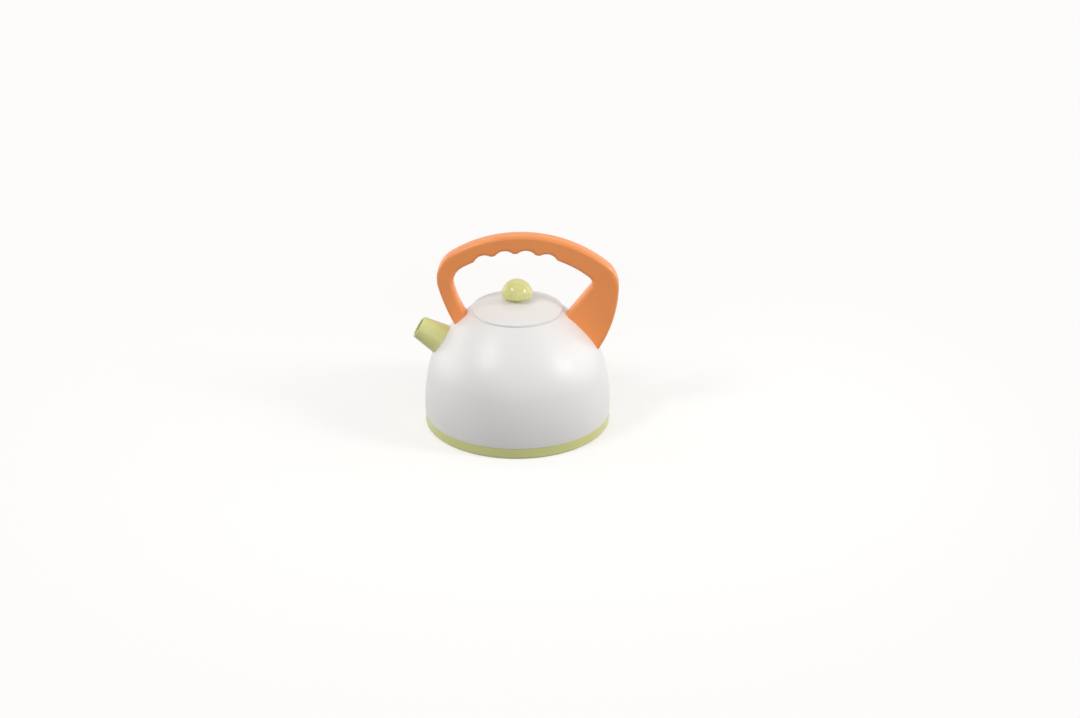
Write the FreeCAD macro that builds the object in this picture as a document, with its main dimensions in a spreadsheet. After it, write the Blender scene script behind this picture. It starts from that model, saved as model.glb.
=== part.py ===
import FreeCAD, Part
import collections
import math
import os
import Sketcher

# Toy kettle in moulded plastic: a white domed body on a green base, with a green spout,
# an orange handle with finger grooves, and a push-fit lid with a green knob.
# Millimetres. The origin is the middle of the base on the table, +Z is up, the spout
# points towards -X and the handle stands in the XZ plane.

document = FreeCAD.newDocument("toy_kettle")

# Driving sizes: name, value, what it measures
SIZES = [
    ("wall", 2.4, "wall of the white body"),
    ("press_gap", 0.1, "gap round a piece that is pressed into another"),
    ("lift_gap", 0.3, "gap round the lid's plug, so that the lid lifts off"),
    ("belly_radius", 74.5, "widest radius of the body"),
    ("belly_height", 14.0, "height of that widest place"),
    ("belly_curve", 148.0, "radius of the side wall's outline"),
    ("shoulder_height", 60.0, "height where the side turns into the dome"),
    ("shoulder_curve", 65.0, "radius of the shoulder's outline, between the side's and the dome's"),
    ("dome_curve", 120.0, "radius of the dome's outline"),
    ("dome_span", 38.1, "how far the rim is inside the belly's radius"),
    ("dome_rise", 34.6, "height of the rim, which carries the lid, above the shoulder"),
    ("rim_round", 0.6, "rounding of the rim's outer edge"),
    ("rim_width", 3.4, "width of the flat rim round the mouth"),
    ("base_inset", 0.22, "how far the green base ring is inside the body's foot"),
    ("base_height", 9.0, "height of the green base ring"),
    ("base_floor", 2.4, "thickness of the base's floor"),
    ("base_round", 1.8, "rounding of the base's lower edge"),
    ("recess_depth", 1.4, "height of the hollow under the base"),
    ("ring_width", 11.2, "width of the ring round the hollow under the base"),
    ("skirt_height", 8.0, "height of the base's skirt inside the body"),
    ("skirt_wall", 2.0, "wall of that skirt"),
    ("skirt_gap", 0.25, "gap between the skirt and the body"),
    ("bead_height", 0.5, "how far the skirt's snap bead stands out"),
    ("bead_width", 2.4, "width of the snap bead"),
    ("bead_level", 4.0, "height of the snap bead above the ring"),
    ("lid_inset", 0.4, "how far the lid is inside the rim's radius"),
    ("lid_edge", 2.0, "height of the lid's upright edge"),
    ("lid_rise", 9.0, "height of the lid's top above the rim"),
    ("lid_curve", 85.0, "radius of the lid's domed outline"),
    ("lid_wall", 2.2, "thickness of the lid"),
    ("lid_round", 0.9, "rounding of the lid's upper edge"),
    ("boss_radius", 7.0, "radius of the flat place under the knob"),
    ("plug_wall", 1.8, "wall of the plug under the lid"),
    ("plug_depth", 9.0, "depth of the plug in the mouth"),
    ("knob_radius", 12.25, "radius of the knob's ball top"),
    ("knob_skirt", 1.0, "height of the upright edge below the ball top"),
    ("knob_round", 0.8, "rounding of the knob's lower edge"),
    ("stem_radius", 5.0, "radius of the knob's stem"),
    ("stem_height", 3.4, "height of the stem above the lid"),
    ("post_radius", 3.0, "radius of the snap post through the lid"),
    ("snap_step", 0.8, "how far a snap stands out"),
    ("snap_length", 3.0, "length of a snap's taper"),
    ("spout_angle", 31.0, "slope of the spout in degrees"),
    ("spout_overhang", 4.0, "how far the middle of the spout's tip is outside the belly's radius"),
    ("spout_rise", 19.0, "height of the middle of the spout's tip above the shoulder"),
    ("spout_tip_radius", 8.9, "outer radius of the spout's tip"),
    ("spout_flare", 10.0, "taper of the spout in degrees"),
    ("spout_wall", 1.8, "wall of the spout's tip and collar"),
    ("spout_round", 0.7, "rounding of the spout's tip"),
    ("collar_radius", 10.4, "outer radius of the collar that enters the body"),
    ("handle_thickness", 12.0, "thickness of the handle"),
    ("handle_round", 3.0, "rounding of the handle's edges"),
    ("arch_curve", 105.0, "radius of the handle's top outline"),
    ("arch_left_inset", 8.7, "how far the top outline's left corner is inside the belly's radius"),
    ("arch_left_rise", 37.3, "height of that corner above the rim"),
    ("arch_left_round", 26.0, "rounding of that corner"),
    ("arch_right_outset", 5.1, "how far the top outline's right corner is outside that radius"),
    ("arch_right_rise", 32.9, "height of that corner above the rim"),
    ("arch_right_round", 24.5, "rounding of that corner"),
    ("grip_curve", 88.6, "radius of the grip's lower outline"),
    ("grip_left_outset", 14.8, "how far the hand gap's left corner is outside the rim's radius"),
    ("grip_left_rise", 30.8, "height of that corner above the rim"),
    ("grip_left_round", 15.0, "rounding of that corner"),
    ("grip_right_outset", 24.7, "how far the hand gap's right corner is outside the rim's radius"),
    ("grip_right_rise", 26.0, "height of that corner above the rim"),
    ("grip_right_round", 6.0, "rounding of that corner"),
    ("left_leg_curve", 162.0, "radius of the left leg's outer outline"),
    ("left_leg_outset", 5.8, "how far that outline's lower end is outside the rim's radius"),
    ("left_leg_drop", 24.6, "depth of that end below the rim, inside the body"),
    ("left_leg_hollow", 78.0, "radius of the left leg's inner outline"),
    ("left_leg_inner_inset", 5.8, "how far that outline's lower end is inside the rim's radius"),
    ("left_leg_inner_drop", 14.6, "depth of that end below the rim, inside the body"),
    ("right_leg_curve", 105.0, "radius of the right leg's outer outline"),
    ("right_leg_inset", 14.2, "how far that outline's lower end is inside the belly's radius"),
    ("right_leg_drop", 4.0, "depth of that end below the shoulder, inside the body"),
    ("right_leg_lean", 37.8, "lean of the right leg's inner outline in degrees"),
    ("groove_radius", 9.0, "radius of a finger groove"),
    ("groove_depth", 2.9, "depth of a finger groove"),
    ("groove_count", 4, "number of finger grooves"),
    ("groove_pitch", 11.3, "angle between finger grooves in degrees"),
    ("groove_middle", -1.95, "angle of the grooves' middle, clockwise from straight up, in degrees"),
    ("groove_round", 3.6, "rounding of the ridges between finger grooves"),
    ("tongue_thickness", 7.0, "thickness of the tongues under the handle's feet"),
    ("left_tongue_outset", 6.2, "how far the left tongue is outside the rim's radius"),
    ("left_tongue_width", 5.6, "width of the left tongue"),
    ("right_tongue_outset", 12.4, "how far the right tongue is outside the rim's radius"),
    ("right_tongue_width", 9.0, "width of the right tongue"),
    ("tongue_root", 4.0, "length of a tongue inside its foot"),
]

# Sizes worked out from them: name, formula, what it measures
BELLY = "Sizes.belly_radius - Sizes.belly_curve + sqrt(Sizes.belly_curve^2 - ({} - Sizes.belly_height)^2)"
WORKED = [
    ("foot_radius", BELLY.format("Sizes.base_height"), "radius of the body's lower edge"),
    ("shoulder_radius", BELLY.format("Sizes.shoulder_height"), "radius of the shoulder"),
    ("rim_radius", "Sizes.belly_radius - Sizes.dome_span", "outer radius of the flat rim"),
    ("rim_height", "Sizes.shoulder_height + Sizes.dome_rise", "height of the rim"),
    ("mouth_radius", "rim_radius - Sizes.rim_width", "radius of the mouth under the lid"),
    ("lid_radius", "rim_radius - Sizes.lid_inset", "radius of the lid"),
    ("base_radius", "foot_radius - Sizes.base_inset", "radius of the green base ring"),
    ("recess_radius", "base_radius - Sizes.ring_width", "radius of the hollow under the base"),
    ("dome_run", "shoulder_radius - rim_radius", "how far the dome comes in"),
    ("dome_chord", "sqrt(dome_run^2 + Sizes.dome_rise^2)", "straight line from shoulder to rim"),
    ("dome_depth", "sqrt(Sizes.dome_curve^2 - dome_chord^2 / 4)", "from that line to the curve's centre"),
    (
        "dome_centre",
        "(shoulder_radius + rim_radius) / 2 - dome_depth * Sizes.dome_rise / dome_chord",
        "radius where the dome's curve has its centre",
    ),
    (
        "dome_centre_height",
        "(Sizes.shoulder_height + rim_height) / 2 - dome_depth * dome_run / dome_chord",
        "height of that centre",
    ),
    ("side_centre", "Sizes.belly_radius - Sizes.belly_curve", "where the side wall's curve has its centre"),
    ("centres_across", "dome_centre - side_centre", "from that centre to the dome's, across"),
    ("centres_up", "dome_centre_height - Sizes.belly_height", "from that centre to the dome's, up"),
    ("centres_apart", "sqrt(centres_across^2 + centres_up^2)", "distance between the two centres"),
    ("side_reach", "Sizes.belly_curve - Sizes.shoulder_curve", "from the side's centre to the shoulder's"),
    ("dome_reach", "Sizes.dome_curve - Sizes.shoulder_curve", "from the dome's centre to the shoulder's"),
    (
        "meeting_along",
        "(side_reach^2 - dome_reach^2 + centres_apart^2) / 2 / centres_apart",
        "from the side's centre to the shoulder's, along the line of centres",
    ),
    (
        "meeting_off",
        "sqrt(side_reach^2 - meeting_along^2)",
        "distance of the shoulder's centre from the line of centres",
    ),
    (
        "shoulder_centre",
        "side_centre + (meeting_along * centres_across - meeting_off * centres_up) / centres_apart",
        "radius where the shoulder's curve has its centre",
    ),
    (
        "shoulder_centre_height",
        "Sizes.belly_height + (meeting_along * centres_up + meeting_off * centres_across) / centres_apart",
        "height of that centre",
    ),
    (
        "inner_foot_radius",
        "side_centre + sqrt((Sizes.belly_curve - Sizes.wall)^2"
        " - (Sizes.base_height - Sizes.belly_height)^2)",
        "inner radius of the body's lower edge",
    ),
    (
        "inner_rim_radius",
        "dome_centre + sqrt((Sizes.dome_curve - Sizes.wall)^2"
        " - (rim_height - Sizes.wall - dome_centre_height)^2)",
        "inner radius of the dome under the rim",
    ),
    ("skirt_radius", "Sizes.belly_radius - Sizes.wall - Sizes.skirt_gap", "outer radius of the skirt"),
    ("bead_middle", "Sizes.base_height + Sizes.bead_level", "height of the snap bead's middle"),
    ("plug_radius", "mouth_radius - Sizes.lift_gap", "outer radius of the lid's plug"),
    ("knob_seat", "rim_height + Sizes.lid_rise", "height of the lid's flat top"),
    ("post_hole", "Sizes.post_radius + Sizes.press_gap", "radius of the hole for the knob's post"),
    ("spout_reach", "Sizes.belly_radius + Sizes.spout_overhang", "spout's tip, across"),
    ("spout_tip_height", "Sizes.shoulder_height + Sizes.spout_rise", "spout's tip, up"),
    (
        "spout_seat",
        "(spout_tip_height - Sizes.shoulder_height"
        " + (spout_reach - shoulder_radius) * Sizes.dome_rise / dome_run)"
        " / (Sizes.dome_rise / dome_run * cos(Sizes.spout_angle * 1deg) + sin(Sizes.spout_angle * 1deg))",
        "distance along the spout from its tip to the dome",
    ),
    ("spout_snap", "spout_seat + Sizes.wall + Sizes.snap_step", "distance from the tip to the snap"),
    ("spout_end", "spout_snap + Sizes.snap_length", "distance from the tip to the collar's end"),
    ("arch_left", "Sizes.belly_radius - Sizes.arch_left_inset", "top outline's left corner, across"),
    ("arch_left_height", "rim_height + Sizes.arch_left_rise", "top outline's left corner, up"),
    ("arch_right", "Sizes.belly_radius + Sizes.arch_right_outset", "top outline's right corner, across"),
    ("arch_right_height", "rim_height + Sizes.arch_right_rise", "top outline's right corner, up"),
    ("left_leg_end", "rim_radius + Sizes.left_leg_outset", "left leg's outer end, across"),
    ("left_leg_end_height", "rim_height - Sizes.left_leg_drop", "left leg's outer end, up"),
    ("left_leg_inner_end", "rim_radius - Sizes.left_leg_inner_inset", "left leg's inner end, across"),
    ("left_leg_inner_end_height", "rim_height - Sizes.left_leg_inner_drop", "left leg's inner end, up"),
    ("right_leg_end", "Sizes.belly_radius - Sizes.right_leg_inset", "right leg's outer end, across"),
    ("right_leg_end_height", "Sizes.shoulder_height - Sizes.right_leg_drop", "right leg's outer end, up"),
    ("left_tongue_near", "rim_radius + Sizes.left_tongue_outset", "left tongue's side nearest the axis"),
    ("right_tongue_near", "rim_radius + Sizes.right_tongue_outset", "right tongue's side nearest the axis"),
    ("grip_left", "rim_radius + Sizes.grip_left_outset", "hand gap's left corner, across"),
    ("grip_left_height", "rim_height + Sizes.grip_left_rise", "hand gap's left corner, up"),
    ("grip_right", "rim_radius + Sizes.grip_right_outset", "hand gap's right corner, across"),
    ("grip_right_height", "rim_height + Sizes.grip_right_rise", "hand gap's right corner, up"),
    ("grip_run", "grip_left + grip_right", "width of the hand gap at its corners"),
    ("grip_fall", "grip_left_height - grip_right_height", "how much lower its right corner is"),
    ("grip_chord", "sqrt(grip_run^2 + grip_fall^2)", "straight line between those corners"),
    ("grip_depth", "sqrt(Sizes.grip_curve^2 - grip_chord^2 / 4)", "from that line to the curve's centre"),
    (
        "grip_centre",
        "(grip_right - grip_left) / 2 - grip_depth * grip_fall / grip_chord",
        "distance from the axis to the centre of the grip's curve",
    ),
    (
        "grip_centre_height",
        "(grip_left_height + grip_right_height) / 2 - grip_depth * grip_run / grip_chord",
        "height of that centre",
    ),
    (
        "groove_orbit",
        "Sizes.grip_curve + Sizes.groove_depth - Sizes.groove_radius",
        "distance from that centre to a groove's centre",
    ),
    (
        "last_groove",
        "Sizes.groove_middle + (Sizes.groove_count - 1) / 2 * Sizes.groove_pitch",
        "angle of the rightmost groove, clockwise from straight up, in degrees",
    ),
    (
        "ridge_width",
        "Sizes.grip_curve * Sizes.groove_pitch * pi / 180"
        " - 2 * sqrt(Sizes.groove_depth * (2 * Sizes.groove_radius - Sizes.groove_depth))",
        "width of a ridge between two grooves",
    ),
    (
        "ridge_round",
        "min(Sizes.groove_round; 0.45 * ridge_width"
        " * sqrt((2 * Sizes.groove_radius - Sizes.groove_depth) / Sizes.groove_depth))",
        "rounding of a ridge, as large as its width allows",
    ),
    ("edge_round", "min(Sizes.handle_round; 0.9 * ridge_round)", "rounding of the handle's edges"),
]


def fill_sheet(name, rows, prefix):
    """Make a sheet with one aliased cell for each row."""
    sheet = document.addObject("Spreadsheet::Sheet", name)
    for number, (alias, content, meaning) in enumerate(rows, start=1):
        sheet.set(f"A{number}", meaning)
        sheet.set(f"B{number}", prefix + str(content))
        sheet.setAlias(f"B{number}", alias)
    document.recompute()
    return sheet


sizes = fill_sheet("Sizes", SIZES, "")
worked = fill_sheet("Worked", WORKED, "=")

# A corner of an outline. Its place is two formulas in the sheets' names. The curve is the
# radius of the edge that leaves it: above nought that edge bulges out of an outline that is
# drawn anticlockwise, with a minus sign it is hollow, and with none it is straight.
Corner = collections.namedtuple("Corner", "across up curve hollow", defaults=(None, False))


def new_piece(label):
    """Start one sub-part."""
    piece = document.addObject("PartDesign::Body", label)
    piece.Label = label
    return piece


def new_sketch(piece, role, name):
    """Add a sketch on one of the piece's own origin planes."""
    sketch = piece.newObject("Sketcher::SketchObject", name)
    plane = [item for item in piece.Origin.OriginFeatures if item.Role == role][0]
    sketch.AttachmentSupport = (plane, [""])
    sketch.MapMode = "FlatFace"
    return sketch


def value(sketch, formula):
    """The number that a formula gives now."""
    return float(sketch.evalExpression(formula))


def bind(sketch, kind, elements, formula, name):
    """Add one driving constraint and tie it to its formula."""
    index = sketch.addConstraint(Sketcher.Constraint(kind, *elements, value(sketch, formula)))
    sketch.renameConstraint(index, name)
    sketch.setExpression(f"Constraints.{name}", formula)


def hold_point(sketch, edge, end, across, up, name):
    """Hold one end of an edge at its place. A place of nought is on the sketch's own axis."""
    if across == "0":
        sketch.addConstraint(Sketcher.Constraint("PointOnObject", edge, end, -2))
    else:
        bind(sketch, "DistanceX", (-1, 1, edge, end), across, f"{name}_across")
    if up == "0":
        sketch.addConstraint(Sketcher.Constraint("PointOnObject", edge, end, -1))
    else:
        bind(sketch, "DistanceY", (-1, 1, edge, end), up, f"{name}_up")


def arc_between(first, last, radius, hollow):
    """The short arc from one point to the next, drawn anticlockwise as sketches need it."""
    middle = (first + last) / 2
    along = last - first
    left = FreeCAD.Vector(-along.y, along.x, 0).normalize()
    depth = max(radius**2 - (along.Length / 2) ** 2, 0) ** 0.5
    centre = middle - left * depth if hollow else middle + left * depth
    circle = Part.Circle(centre, FreeCAD.Vector(0, 0, 1), radius)
    start, end = (last, first) if hollow else (first, last)
    return Part.ArcOfCircle(circle, circle.parameter(start), circle.parameter(end))


def draw_outline(sketch, corners, name="corner"):
    """Draw a closed outline through the corners and tie it to the sheets."""
    points = [FreeCAD.Vector(value(sketch, c.across), value(sketch, c.up), 0) for c in corners]
    following = points[1:] + points[:1]
    ends = []
    for corner, first, last in zip(corners, points, following):
        if corner.curve is None:
            edge = sketch.addGeometry(Part.LineSegment(first, last))
        else:
            arc = arc_between(first, last, value(sketch, corner.curve), corner.hollow)
            edge = sketch.addGeometry(arc)
        flipped = corner.curve is not None and corner.hollow
        ends.append((edge, 2 if flipped else 1, 1 if flipped else 2))
    for index, corner in enumerate(corners):
        edge, near, _ = ends[index]
        before, _, far = ends[index - 1]
        sketch.addConstraint(Sketcher.Constraint("Coincident", before, far, edge, near))
        hold_point(sketch, edge, near, corner.across, corner.up, f"{name}_{index}")
        if corner.curve is not None:
            bind(sketch, "Radius", (edge,), corner.curve, f"{name}_{index}_curve")


def draw_circle(sketch, across, up, radius):
    """Draw one circle and tie it to the sheets."""
    centre = FreeCAD.Vector(value(sketch, across), value(sketch, up), 0)
    circle = Part.Circle(centre, FreeCAD.Vector(0, 0, 1), value(sketch, radius))
    edge = sketch.addGeometry(circle)
    hold_point(sketch, edge, 3, across, up, "centre")
    bind(sketch, "Radius", (edge,), radius, "radius")


def draw_axis(sketch, start, end):
    """Draw a construction line that a revolved feature turns about."""
    points = [FreeCAD.Vector(value(sketch, x), value(sketch, z), 0) for x, z in (start, end)]
    edge = sketch.addGeometry(Part.LineSegment(*points), True)
    hold_point(sketch, edge, 1, *start, "axis_start")
    hold_point(sketch, edge, 2, *end, "axis_end")


def turn(piece, kind, sketch, axis, name):
    """Revolve a sketch, as a Revolution that adds or a Groove that cuts."""
    feature = piece.newObject(f"PartDesign::{kind}", name)
    feature.Profile = sketch
    feature.ReferenceAxis = (sketch, [axis])
    feature.Angle = 360
    document.recompute()
    return feature


def pad_through(piece, sketch, thickness, name):
    """Pad a sketch by a thickness, half to each side of its plane."""
    feature = piece.newObject("PartDesign::Pad", name)
    feature.Profile = sketch
    feature.Midplane = True
    feature.setExpression("Length", thickness)
    document.recompute()
    return feature


def cut_upward(piece, sketch, name):
    """Cut a sketch on the table's plane right up through the piece."""
    feature = piece.newObject("PartDesign::Pocket", name)
    feature.Profile = sketch
    feature.Type = "ThroughAll"
    feature.Reversed = True
    document.recompute()
    return feature


def round_edges(piece, chosen, radius, name):
    """Round the piece's edges that a test chooses."""
    base = piece.Tip
    names = [f"Edge{i}" for i, edge in enumerate(base.Shape.Edges, start=1) if chosen(edge)]
    feature = piece.newObject("PartDesign::Fillet", name)
    feature.Base = (base, names)
    feature.setExpression("Radius", radius)
    document.recompute()
    return feature


def is_circle_at(radius, height):
    """Test for a circle about the kettle's axis with this radius and height."""

    def chosen(edge):
        if edge.Degenerated or not isinstance(edge.Curve, Part.Circle):
            return False
        centre = edge.Curve.Center
        off_axis = max(abs(centre.x), abs(centre.y))
        miss = max(abs(edge.Curve.Radius - radius), abs(centre.z - height), off_axis)
        return miss < 0.01

    return chosen


def is_tip_edge(edge):
    """Test for an edge round the spout's tip."""
    if edge.Degenerated or not isinstance(edge.Curve, Part.Circle):
        return False
    centre = edge.Curve.Center
    return math.hypot(centre.x + worked.spout_reach, centre.z - worked.spout_tip_height) < 0.01


def is_crosswise_near(across, up):
    """Test for a straight edge along Y that passes this place in the XZ plane."""

    def chosen(edge):
        ends = [vertex.Point for vertex in edge.Vertexes]
        if len(ends) != 2 or abs(ends[0].y - ends[1].y) < 1:
            return False
        return max(max(abs(end.x - across), abs(end.z - up)) for end in ends) < 0.05

    return chosen


def is_ridge(edge):
    """Test for a sharp edge between a finger groove and the grip's lower outline."""
    ends = [vertex.Point for vertex in edge.Vertexes]
    if len(ends) != 2 or abs(ends[0].y - ends[1].y) < 1:
        return False
    across = ends[0].x - worked.grip_centre
    up = ends[0].z - worked.grip_centre_height
    angle = math.degrees(math.atan2(across, up))
    span = sizes.groove_count * sizes.groove_pitch / 2
    on_grip = abs(math.hypot(across, up) - sizes.grip_curve) < 0.01
    return on_grip and abs(angle - sizes.groove_middle) < span


def is_side_edge(edge):
    """Test for an edge in one of the handle's two flat sides."""
    return all(abs(abs(vertex.Y) - sizes.handle_thickness / 2) < 0.01 for vertex in edge.Vertexes)


def shoulder_corners(depth, gap):
    """The two ends of the shoulder's curve, which touches the side's curve and the dome's, so far
    below the outer face, moved outwards by a gap."""
    low = f"(Sizes.belly_curve - {depth}) / Worked.side_reach"
    high = f"(Sizes.dome_curve - {depth}) / Worked.dome_reach"
    across, up = "Worked.shoulder_centre", "Worked.shoulder_centre_height"
    return [
        Corner(
            f"Worked.side_centre + ({across} - Worked.side_centre) * {low} + {gap}",
            f"Sizes.belly_height + ({up} - Sizes.belly_height) * {low} + {gap}",
            f"Sizes.shoulder_curve - {depth}",
        ),
        Corner(
            f"Worked.dome_centre + ({across} - Worked.dome_centre) * {high} + {gap}",
            f"Worked.dome_centre_height + ({up} - Worked.dome_centre_height) * {high} + {gap}",
            f"Sizes.dome_curve - {depth}",
        ),
    ]


def body_outline(gap):
    """Outer outline of the body from its lower edge to its rim, moved outwards by a gap."""
    return [
        Corner("0", f"Sizes.base_height + {gap}"),
        Corner(f"Worked.foot_radius + {gap}", f"Sizes.base_height + {gap}", "Sizes.belly_curve"),
        *shoulder_corners("0", gap),
        Corner(f"Worked.rim_radius + {gap}", f"Worked.rim_height + {gap}"),
        Corner("0", f"Worked.rim_height + {gap}"),
    ]


def hollow_outline():
    """Inner outline of the body, one wall inside the outer one."""
    ceiling = "Worked.rim_height - Sizes.wall"
    return [
        Corner("0", "Sizes.base_height"),
        Corner("Worked.inner_foot_radius", "Sizes.base_height", "Sizes.belly_curve - Sizes.wall"),
        *shoulder_corners("Sizes.wall", "0"),
        Corner("Worked.inner_rim_radius", ceiling),
        Corner("0", ceiling),
    ]


def spout_point(along, out):
    """Formulas for a place on the spout: so far in from its tip, and so far above its axis."""
    slope = "Sizes.spout_angle * 1deg"
    across = f"-Worked.spout_reach + ({along}) * cos({slope}) + ({out}) * sin({slope})"
    up = f"Worked.spout_tip_height - ({along}) * sin({slope}) + ({out}) * cos({slope})"
    return across, up


def spout_turning(piece, kind, stations, name):
    """Revolve an outline about the spout's axis. Stations are distance from the tip and radius."""
    sketch = new_sketch(piece, "XZ_Plane", f"{name}_outline")
    draw_axis(sketch, spout_point("0", "0"), spout_point("Worked.spout_end", "0"))
    draw_outline(sketch, [Corner(*spout_point(along, out)) for along, out in stations])
    return turn(piece, kind, sketch, "Axis0", name)


def seat_on_dome(piece, name):
    """Cut a piece back to the body's outer face, with the press gap between them."""
    sketch = new_sketch(piece, "XZ_Plane", f"{name}_outline")
    draw_outline(sketch, body_outline("Sizes.press_gap"))
    return turn(piece, "Groove", sketch, "V_Axis", name)


# A tongue: side of the kettle it is on, its nearest distance to the axis, its width
Tongue = collections.namedtuple("Tongue", "side near width")
TONGUES = {
    "left": Tongue("-1", "Worked.left_tongue_near", "Sizes.left_tongue_width"),
    "right": Tongue("1", "Worked.right_tongue_near", "Sizes.right_tongue_width"),
}


def make_body():
    """White shell with an open foot, a mouth, a round hole for the spout and two slots."""
    piece = new_piece("body")
    outline = new_sketch(piece, "XZ_Plane", "outer_outline")
    draw_outline(outline, body_outline("0"))
    turn(piece, "Revolution", outline, "V_Axis", "outer_form")
    round_edges(piece, is_circle_at(worked.rim_radius, worked.rim_height), "Sizes.rim_round", "soft_rim")

    hollow = new_sketch(piece, "XZ_Plane", "inner_outline")
    draw_outline(hollow, hollow_outline())
    turn(piece, "Groove", hollow, "V_Axis", "hollow")

    mouth = new_sketch(piece, "XY_Plane", "mouth_outline")
    draw_circle(mouth, "0", "0", "Worked.mouth_radius")
    cut_upward(piece, mouth, "mouth")

    groove = new_sketch(piece, "XZ_Plane", "bead_groove_outline")
    half = "(Sizes.bead_width / 2 + Sizes.press_gap)"
    inside = "Worked.skirt_radius"
    crest = f"{inside} + Sizes.bead_height + Sizes.press_gap"
    groove_corners = [
        Corner(inside, f"Worked.bead_middle - {half}"),
        Corner(crest, "Worked.bead_middle"),
        Corner(inside, f"Worked.bead_middle + {half}"),
    ]
    draw_outline(groove, groove_corners)
    turn(piece, "Groove", groove, "V_Axis", "bead_groove")

    hole = "Sizes.collar_radius + Sizes.press_gap"
    outside = "Worked.spout_seat - Sizes.collar_radius"
    stations = [(outside, "0"), ("Worked.spout_end", "0"), ("Worked.spout_end", hole), (outside, hole)]
    spout_turning(piece, "Groove", stations, "spout_hole")

    for side, tongue in TONGUES.items():
        slot = new_sketch(piece, "XY_Plane", f"{side}_slot_outline")
        near = f"{tongue.side} * ({tongue.near} - Sizes.press_gap)"
        far = f"{tongue.side} * ({tongue.near} + {tongue.width} + Sizes.press_gap)"
        deep = "(Sizes.tongue_thickness / 2 + Sizes.press_gap)"
        corners = [Corner(near, f"-{deep}"), Corner(far, f"-{deep}"), Corner(far, deep), Corner(near, deep)]
        draw_outline(slot, corners)
        cut_upward(piece, slot, f"{side}_slot")
    return piece


def make_base():
    """Green base: a ring under the body, a floor hollow below, and a skirt with a snap bead."""
    piece = new_piece("base")
    outline = new_sketch(piece, "XZ_Plane", "base_outline")
    half = "Sizes.bead_width / 2"
    top = "Sizes.base_height + Sizes.skirt_height"
    inner = "Worked.skirt_radius - Sizes.skirt_wall"
    floor = "Sizes.recess_depth + Sizes.base_floor"
    corners = [
        Corner("0", "Sizes.recess_depth"),
        Corner("Worked.recess_radius", "Sizes.recess_depth"),
        Corner("Worked.recess_radius + Sizes.recess_depth", "0"),
        Corner("Worked.base_radius", "0"),
        Corner("Worked.base_radius", "Sizes.base_height"),
        Corner("Worked.skirt_radius", "Sizes.base_height"),
        Corner("Worked.skirt_radius", f"Worked.bead_middle - {half}"),
        Corner("Worked.skirt_radius + Sizes.bead_height", "Worked.bead_middle"),
        Corner("Worked.skirt_radius", f"Worked.bead_middle + {half}"),
        Corner("Worked.skirt_radius", top),
        Corner(inner, top),
        Corner(inner, floor),
        Corner("0", floor),
    ]
    draw_outline(outline, corners)
    turn(piece, "Revolution", outline, "V_Axis", "base_form")
    round_edges(piece, is_circle_at(worked.base_radius, 0), "Sizes.base_round", "soft_lower_edge")
    return piece


def make_spout():
    """Green spout: a hollow cone cut to the dome, with a collar that snaps into the body."""
    piece = new_piece("spout")
    flared = "Sizes.spout_tip_radius + Worked.spout_end * tan(Sizes.spout_flare * 1deg)"
    cone = [
        ("0", "0"),
        ("Worked.spout_end", "0"),
        ("Worked.spout_end", flared),
        ("0", "Sizes.spout_tip_radius"),
    ]
    spout_turning(piece, "Revolution", cone, "cone")
    seat_on_dome(piece, "seat")

    root = "Worked.spout_seat - Sizes.collar_radius / 2"
    snap = "Sizes.collar_radius + Sizes.snap_step"
    collar = [
        (root, "0"),
        ("Worked.spout_end", "0"),
        ("Worked.spout_end", "Sizes.collar_radius - Sizes.snap_step"),
        ("Worked.spout_snap", snap),
        ("Worked.spout_snap", "Sizes.collar_radius"),
        (root, "Sizes.collar_radius"),
    ]
    spout_turning(piece, "Revolution", collar, "collar")

    bore = [
        ("0", "0"),
        ("Worked.spout_end", "0"),
        ("Worked.spout_end", "Sizes.collar_radius - Sizes.snap_step - Sizes.spout_wall / 2"),
        ("0", "Sizes.spout_tip_radius - Sizes.spout_wall"),
    ]
    spout_turning(piece, "Groove", bore, "bore")
    round_edges(piece, is_tip_edge, "Sizes.spout_round", "soft_tip")
    return piece


def handle_corners():
    """Outline of the handle, anticlockwise, with both legs running down into the body."""
    inner_end = "(Worked.rim_height - 3 * Sizes.wall)"
    slope = "tan(Sizes.right_leg_lean * 1deg)"
    right_inner = f"Worked.grip_right - (Worked.grip_right_height - {inner_end}) * {slope}"
    return [
        Corner("Worked.right_leg_end", "Worked.right_leg_end_height", "Sizes.right_leg_curve"),
        Corner("Worked.arch_right", "Worked.arch_right_height", "Sizes.arch_curve"),
        Corner("-Worked.arch_left", "Worked.arch_left_height", "Sizes.left_leg_curve"),
        Corner("-Worked.left_leg_end", "Worked.left_leg_end_height"),
        Corner(
            "-Worked.left_leg_inner_end",
            "Worked.left_leg_inner_end_height",
            "Sizes.left_leg_hollow",
            True,
        ),
        Corner("-Worked.grip_left", "Worked.grip_left_height", "Sizes.grip_curve", True),
        Corner("Worked.grip_right", "Worked.grip_right_height"),
        Corner(right_inner, inner_end),
    ]


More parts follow.
